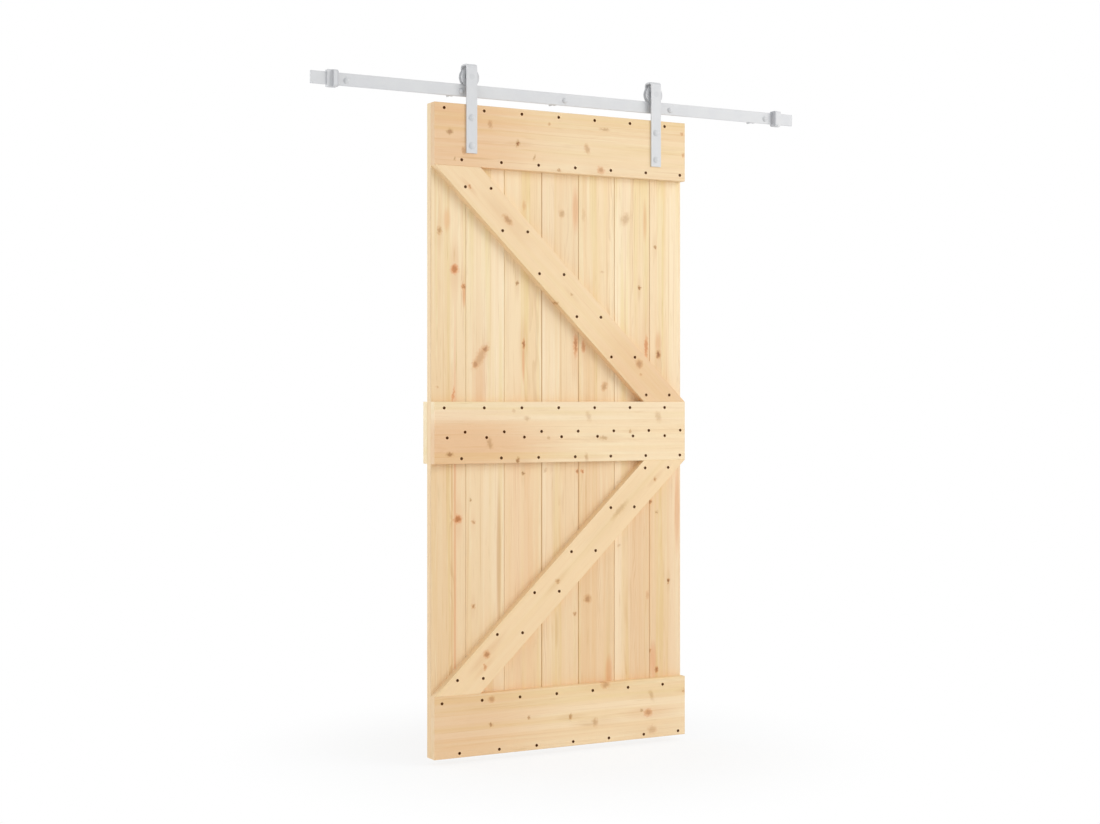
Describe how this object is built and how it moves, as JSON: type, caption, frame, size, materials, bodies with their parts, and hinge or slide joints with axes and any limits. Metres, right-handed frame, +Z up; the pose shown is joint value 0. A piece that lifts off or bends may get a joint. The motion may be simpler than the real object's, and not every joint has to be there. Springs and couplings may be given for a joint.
{
  "type": "sliding door",
  "caption": "Ledged and braced plank door hung from a flat wall rail by two hooked straps with grooved wheels, with end stops.",
  "frame": {"origin": "centre of the middle spacer's wall face; the rail's own centre is 15 mm to its right and 3.5 mm above it", "axes": "+X along the rail to the right as seen from the front, +Y into the wall, +Z up"},
  "size_m": [1.83, 0.136, 2.2313],
  "materials": {
    "pine": "planed, unvarnished",
    "rail_steel": "satin light grey",
    "wheel_steel": "satin light grey",
    "bolt_steel": "zinc plated",
    "pad_rubber": "matte light grey"
  },
  "bodies": {
    "rail": {"rail_bar": "rail_steel", "wall_spacer_1": "rail_steel", "wall_spacer_2": "rail_steel", "wall_spacer_3": "rail_steel", "wall_spacer_4": "rail_steel", "wall_spacer_5": "rail_steel", "lag_bolt_1": "bolt_steel", "lag_bolt_2": "bolt_steel", "lag_bolt_3": "bolt_steel", "lag_bolt_4": "bolt_steel", "lag_bolt_5": "bolt_steel", "stop_block_left": "rail_steel", "stop_block_right": "rail_steel", "stop_pad_left": "pad_rubber", "stop_pad_right": "pad_rubber"},
    "door": {"board_1": "pine", "board_2": "pine", "board_3": "pine", "board_4": "pine", "board_5": "pine", "board_6": "pine", "board_7": "pine", "top_rail": "pine", "middle_rail": "pine", "bottom_rail": "pine", "back_rail": "pine", "upper_brace": "pine", "lower_brace": "pine", "hanger_left": "rail_steel", "axle_bushings_left": "bolt_steel", "axle_bolt_left": "bolt_steel", "axle_nut_left": "bolt_steel", "strap_bolts_left": "bolt_steel", "strap_nuts_left": "bolt_steel", "hanger_right": "rail_steel", "axle_bushings_right": "bolt_steel", "axle_bolt_right": "bolt_steel", "axle_nut_right": "bolt_steel", "strap_bolts_right": "bolt_steel", "strap_nuts_right": "bolt_steel"},
    "wheel_left": {"wheel_left": "wheel_steel", "bearing_left": "bolt_steel"},
    "wheel_right": {"wheel_right": "wheel_steel", "bearing_right": "bolt_steel"}
  },
  "joints": [
    {"name": "door_slide", "type": "slide", "parent": "rail", "child": "door", "axis": [1, 0, 0], "range_m": [-0.424, 0.462]},
    {"name": "wheel_left_spin", "type": "hinge", "parent": "door", "child": "wheel_left", "pos_m": [-0.354, -0.073, 0.0468], "axis": [0, 1, 0], "continuous": true},
    {"name": "wheel_right_spin", "type": "hinge", "parent": "door", "child": "wheel_right", "pos_m": [0.346, -0.073, 0.0468], "axis": [0, 1, 0], "continuous": true}
  ],
  "couplings": [
    {"joint": "wheel_left_spin", "follows": "door_slide", "rad_per_m": 43.478},
    {"joint": "wheel_right_spin", "follows": "door_slide", "rad_per_m": 43.478}
  ]
}
